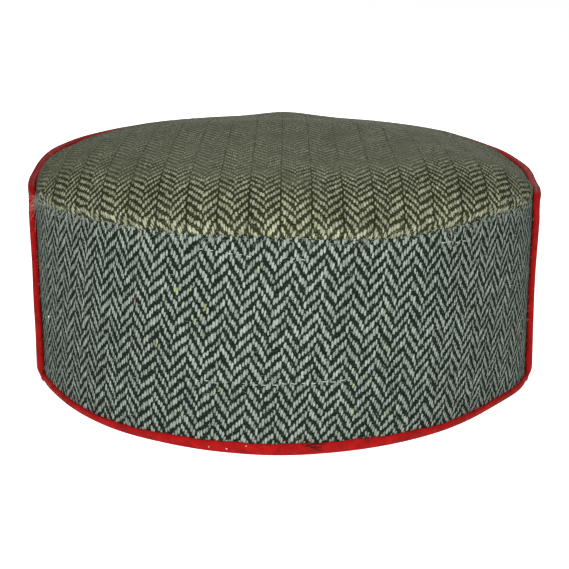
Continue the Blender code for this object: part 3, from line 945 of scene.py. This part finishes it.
def flap_tape():
    azimuth, height, across, down = flap_path()
    inner = GAP
    outer = STANDOFF + FLAP + TAPE_REACH
    half = (outer - inner) / 2.0
    middle = (outer + inner) / 2.0
    bend = np.radians(np.linspace(90.0, -90.0, 11))
    soft = FLAP_TAPE_SOFTNESS
    face = np.linspace(1.0, 0.0, 8)
    station = np.arange(len(azimuth))[:, None]
    band = BAND * (0.9 + 0.04 * np.sin(station * 0.11) + 0.03 * np.sin(station * 0.31 + 1.0))
    start = soft - TAPE_REACH
    none = 0.0 * band
    reaches = [start + (band - soft) * face[None, :], none + start - soft * np.cos(bend)]
    reaches += [start + (band - soft) * face[None, ::-1], band, none - GAP, none - GAP, band]
    bulge = FLAP_TAPE_BULGE * np.sin(math.pi * face)
    offsets = [outer - FLAP_TAPE_DIP * face ** 6 + bulge, middle + half * np.sin(bend)]
    offsets += [inner + 0.0 * face, np.array([inner + TAPE, inner + TAPE, outer - TAPE, outer - TAPE])]
    reach = np.concatenate(reaches + [reaches[0][:, :1]], 1)
    offset = np.concatenate(offsets + [offsets[0][:1]])[None, :]
    place = azimuth + arc_degrees(reach * across)
    z = height - reach * down
    z = z + slack(place, "flap") * z / FLAP_TOP
    place, offset = sweep(place, z, offset)
    grid = on_plan(place, wall_radius(place, z) + offset, z)
    step = np.linalg.norm(np.diff(grid[:, :1], axis=0), axis=2)
    track = np.concatenate([np.zeros((1, 1)), np.cumsum(step, 0)])
    run = np.linalg.norm(np.diff(grid, axis=1), axis=2)
    length = np.concatenate([np.zeros_like(azimuth), np.cumsum(run, 1)], 1)
    flat_place = np.stack([np.broadcast_to(track, length.shape) + 0.4, length], -1)
    return skin("flap_binding_tape", grid, flat_place, True)


edge_tape = flap_tape()
edge_tape.data.materials.append(RED_TAPE)
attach(edge_tape, "root")
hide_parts("flap_binding")

# Loose fibres
# Wool fibres that stand off the tweed, thickest along the seam and at the flap's corner, and red cotton ends
# along the tape.
FIBRE_POINTS = 6


def fibre_paths(rng, roots, outward, length, curl):
    """Curved fibres from their roots, heading outward and bending at random."""
    count = len(roots)
    lean = rng.normal(0.0, 1.0, (count, 3))
    heading = outward + 0.9 * lean
    heading /= np.linalg.norm(heading, axis=1, keepdims=True)
    bend = rng.normal(0.0, 1.0, (count, 3)) * curl
    share = np.linspace(0.0, 1.0, FIBRE_POINTS)[None, :, None]
    reach = (length * rng.uniform(0.4, 1.0, count))[:, None, None]
    return roots[:, None, :] + reach * (heading[:, None, :] * share + bend[:, None, :] * share ** 2)


def wall_fibres(rng, tuft):
    azimuth = rng.uniform(tuft.first, tuft.last, tuft.count)
    height = rng.uniform(tuft.low, tuft.high, tuft.count)
    height = height + np.where(height > SEAM_HEIGHT * 0.95, slack(azimuth, "seam"), 0.0)
    roots = on_wall(azimuth, height, -0.0001)
    angle = np.radians(azimuth)
    outward = np.stack([np.sin(angle), -np.cos(angle), np.zeros(tuft.count)], 1)
    return fibre_paths(rng, roots, outward, tuft.length, tuft.curl)


def crown_fibres(rng, count, length):
    azimuth = rng.uniform(-180.0, 180.0, count)
    radius = crown_edge(azimuth) * np.sqrt(rng.uniform(0.0, 1.0, count)) * 0.985
    share = radius / crown_edge(azimuth)
    height = CROWN_TOP + slack(azimuth, "seam") * share ** 2 + crown_rise(azimuth, radius)
    roots = on_plan(azimuth, radius, height - 0.0001)
    outward = np.tile([0.0, 0.0, 1.0], (count, 1))
    return fibre_paths(rng, roots, outward, length, 0.6)


def fibres(name, groups, radius, colour, slot_name):
    piece = threads(name, np.concatenate(groups), radius, 0.3)
    piece.data.materials.append(yarn_paint(name, colour))
    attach(piece, "root")
    return piece


Tuft = namedtuple("Tuft", "count low high first last length curl")
WALL_TUFTS = (
    Tuft(2600, 0.005, 0.066, -100.0, 100.0, 0.0011, 0.7),
    Tuft(560, 0.0650, 0.0682, -62.0, 60.0, 0.0019, 0.9),
    Tuft(60, 0.0600, 0.0670, -69.0, -63.0, 0.0045, 0.9),
)
SEAM_TUFT = Tuft(300, 0.0672, 0.0690, -62.0, 60.0, 0.0018, 0.9)
TAPE_TUFT = Tuft(260, 0.0002, 0.0045, -66.0, 66.0, 0.0016, 0.7)
CROWN_FIBRES = 2600
CROWN_FIBRE_LENGTH = 0.0009
WOOL_RADIUS = 0.00003
COTTON_RADIUS = 0.000028

rng = np.random.default_rng(23)
wall_groups = [wall_fibres(rng, tuft) for tuft in WALL_TUFTS]
fibres("wall_fibres", wall_groups, WOOL_RADIUS, display(150, 160, 148), "wall_tweed")
crown_groups = [crown_fibres(rng, CROWN_FIBRES, CROWN_FIBRE_LENGTH), wall_fibres(rng, SEAM_TUFT)]
# the crown's fibres are coloured warmer than the wall's to go with the crown's painted warm light
fibres("crown_fibres", crown_groups, WOOL_RADIUS, display(150, 150, 126), "crown_tweed")
tape_groups = [wall_fibres(rng, TAPE_TUFT)]
fibres("tape_fibres", tape_groups, COTTON_RADIUS, display(150, 20, 16), "red_tape")

# Floor, light and camera
# A plain white floor, a wide soft light near the camera and a weak one on the far side, as in a shop's
# product photo.
FLOOR_HALF = 60
FLOOR_DROP = 0.0002
FLOOR_WHITE = (0.93, 0.93, 0.93, 1.0)
FLOOR_GLOW = 0.78
SKY = 0.2
LAMP_WATTS = 4.9
LAMP_SIZE = 0.22
LAMP_PLACE = (-0.02, -0.47, 0.33)
LAMP_TILT = 58.0
LAMP_TURN = -2.5
FILL_WATTS = 4.0
FILL_SIZE = 0.5
FILL_PLACE = (0.08, 0.72, 0.24)
FILL_TILT = -73.0
FILL_TURN = -6.0

floor_mesh = bpy.data.meshes.new("floor")
floor_corners = [(x * FLOOR_HALF, y * FLOOR_HALF, 0) for x, y in ((-1, -1), (1, -1), (1, 1), (-1, 1))]
floor_mesh.from_pydata(floor_corners, [], [(0, 1, 2, 3)])
floor = bpy.data.objects.new("floor", floor_mesh)
floor.location.z = -FLOOR_DROP
bpy.context.collection.objects.link(floor)
floor_paint = bpy.data.materials.new("white floor")
floor_paint.use_nodes = True
floor_shader = floor_paint.node_tree.nodes["Principled BSDF"]
floor_shader.inputs["Base Color"].default_value = FLOOR_WHITE
floor_shader.inputs["Roughness"].default_value = 0.9
floor_shader.inputs["Emission Color"].default_value = (1.0, 1.0, 1.0, 1.0)
floor_shader.inputs["Emission Strength"].default_value = FLOOR_GLOW
floor_mesh.materials.append(floor_paint)

world = bpy.data.worlds.new("studio")
world.use_nodes = True
world.node_tree.nodes["Background"].inputs[0].default_value = (1.0, 1.0, 1.0, 1.0)
world.node_tree.nodes["Background"].inputs[1].default_value = SKY
bpy.context.scene.world = world


def soft_light(name, watts, size, place, tilt, turn):
    light = bpy.data.lights.new(name, "AREA")
    light.energy = watts
    light.size = size
    lamp = bpy.data.objects.new(name, light)
    lamp.location = place
    lamp.rotation_euler = (math.radians(tilt), 0.0, math.radians(turn))
    bpy.context.collection.objects.link(lamp)


soft_light("soft light near the camera", LAMP_WATTS, LAMP_SIZE, LAMP_PLACE, LAMP_TILT, LAMP_TURN)
soft_light("weak light on the front", FILL_WATTS, FILL_SIZE, FILL_PLACE, FILL_TILT, FILL_TURN)

CAMERA_REACH = -0.41449
CAMERA_HEIGHT = 0.16959
CAMERA_PITCH = math.radians(19.8384)
CAMERA_YAW = math.radians(0.0805)
CAMERA_ROLL = math.radians(0.8337)
PICTURE = 569
FOCUS_PIXELS = 1146.55
SENSOR = 36.0
camera_data = bpy.data.cameras.new("camera")
camera_data.sensor_width = SENSOR
camera_data.lens = FOCUS_PIXELS / PICTURE * SENSOR
camera_data.clip_start = 0.02
camera = bpy.data.objects.new("camera", camera_data)
ahead = Vector((
    math.sin(CAMERA_YAW) * math.cos(CAMERA_PITCH),
    math.cos(CAMERA_YAW) * math.cos(CAMERA_PITCH),
    -math.sin(CAMERA_PITCH),
))
right = Vector((math.cos(CAMERA_YAW), -math.sin(CAMERA_YAW), 0.0))
up = right.cross(ahead)
turned_right = math.cos(CAMERA_ROLL) * right + math.sin(CAMERA_ROLL) * up
turned_up = math.cos(CAMERA_ROLL) * up - math.sin(CAMERA_ROLL) * right
axes = Matrix((turned_right, turned_up, -ahead)).transposed().to_4x4()
camera.matrix_world = Matrix.Translation((0.0, CAMERA_REACH + PLAN_SHIFT, CAMERA_HEIGHT)) @ axes
bpy.context.collection.objects.link(camera)
bpy.context.scene.camera = camera
bpy.context.scene.view_settings.view_transform = "Standard"
